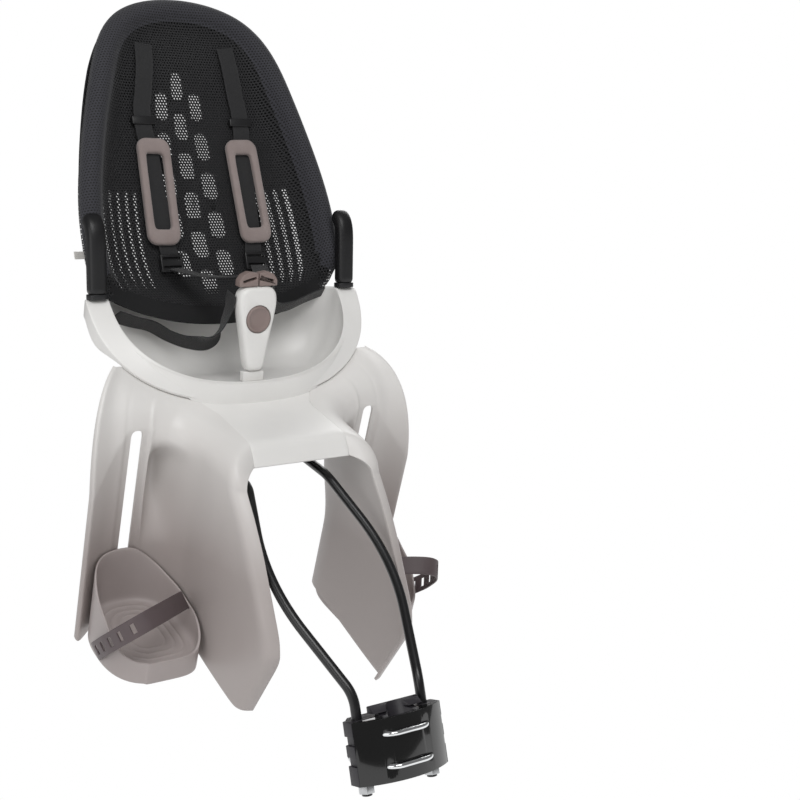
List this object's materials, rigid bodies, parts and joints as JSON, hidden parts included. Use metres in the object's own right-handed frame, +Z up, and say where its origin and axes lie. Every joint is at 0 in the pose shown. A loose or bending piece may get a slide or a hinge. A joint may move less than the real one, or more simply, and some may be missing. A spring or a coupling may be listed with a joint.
{
  "type": "rear child bike seat",
  "caption": "Rear child bike seat with a bucket seat, mesh backrest, harness, leg shields, height-adjustable foot cups and a steel fork clamped to the seat tube.",
  "frame": {"origin": "middle of the clamp's bore for the bicycle's seat tube, on the bore's axis", "axes": "+Z up, -Y the way the child and the bicycle face, +X to the child's left"},
  "size_m": [0.4978, 0.5993, 0.9305],
  "materials": {
    "shell_white": "smooth off-white moulding",
    "shield_taupe": "fine-grained warm grey moulding",
    "shell_black": "fine-grained black moulding",
    "mesh_fabric": "open black spacer mesh over foam",
    "soft_black": "soft black grip",
    "rod_black": "satin black powder coat",
    "zinc_steel": "zinc plated",
    "clamp_plastic": "dark grey moulding",
    "cover_gloss": "polished black moulding",
    "bright_chrome": "bright chrome",
    "buckle_plastic": "smooth black moulding",
    "button_taupe": "satin taupe moulding",
    "webbing": "ribbed black webbing",
    "pad_fabric": "soft taupe padding",
    "tab_fabric": "plain woven tab",
    "strap_rubber": "dark taupe rubber"
  },
  "bodies": {
    "seat": {"seat_pan": "shell_white", "centre_cover": "shell_white", "left_leg_shield": "shield_taupe", "right_leg_shield": "shield_taupe", "back_shell": "shell_black", "mesh_cover": "mesh_fabric", "left_armrest": "soft_black", "right_armrest": "soft_black", "left_armrest_collar": "shell_black", "right_armrest_collar": "shell_black", "fork": "rod_black", "fork_carrier": "shell_black", "fork_clamp_plate": "zinc_steel", "fork_clamp_screws": "zinc_steel", "clamp_housing": "clamp_plastic", "clamp_cover": "cover_gloss", "clamp_jaw": "clamp_plastic", "upper_u_bolt": "bright_chrome", "lower_u_bolt": "bright_chrome", "u_bolt_nuts": "zinc_steel", "fork_washers": "zinc_steel", "fork_nuts": "zinc_steel", "buckle_body": "shell_white", "buckle_clip": "shell_white", "left_tongue": "button_taupe", "right_tongue": "button_taupe", "left_shoulder_strap": "webbing", "right_shoulder_strap": "webbing", "left_strap_glide": "buckle_plastic", "right_strap_glide": "buckle_plastic", "left_shoulder_pad": "pad_fabric", "right_shoulder_pad": "pad_fabric", "left_adjuster": "buckle_plastic", "right_adjuster": "buckle_plastic", "left_lower_strap": "webbing", "right_lower_strap": "webbing", "left_waist_strap": "webbing", "right_waist_strap": "webbing", "side_tab": "tab_fabric"},
    "left_foot_cup": {"left_foot_cup": "shield_taupe", "left_cup_slider": "shell_black", "left_slider_plate": "shell_black", "left_slider_screws": "zinc_steel", "left_foot_strap": "strap_rubber"},
    "right_foot_cup": {"right_foot_cup": "shield_taupe", "right_cup_slider": "shell_black", "right_slider_plate": "shell_black", "right_slider_screws": "zinc_steel", "right_foot_strap": "strap_rubber"},
    "buckle_button": {"buckle_button": "button_taupe"},
    "release_latch": {"release_latch": "cover_gloss"}
  },
  "joints": [
    {"name": "left_cup_slide", "type": "slide", "parent": "seat", "child": "left_foot_cup", "axis": [0, -0.2974, 0.9548], "range_m": [0, 0.14]},
    {"name": "right_cup_slide", "type": "slide", "parent": "seat", "child": "right_foot_cup", "axis": [0, -0.2974, 0.9548], "range_m": [0, 0.14]},
    {"name": "buckle_press", "type": "slide", "parent": "seat", "child": "buckle_button", "axis": [0, 0.9943, 0.1063], "range_m": [0, 0.003], "stiffness_N_per_m": 500, "springref_m": -0.003},
    {"name": "latch_press", "type": "slide", "parent": "seat", "child": "release_latch", "axis": [0, -0.2672, -0.9636], "range_m": [0, 0.004], "stiffness_N_per_m": 900, "springref_m": -0.003}
  ]
}
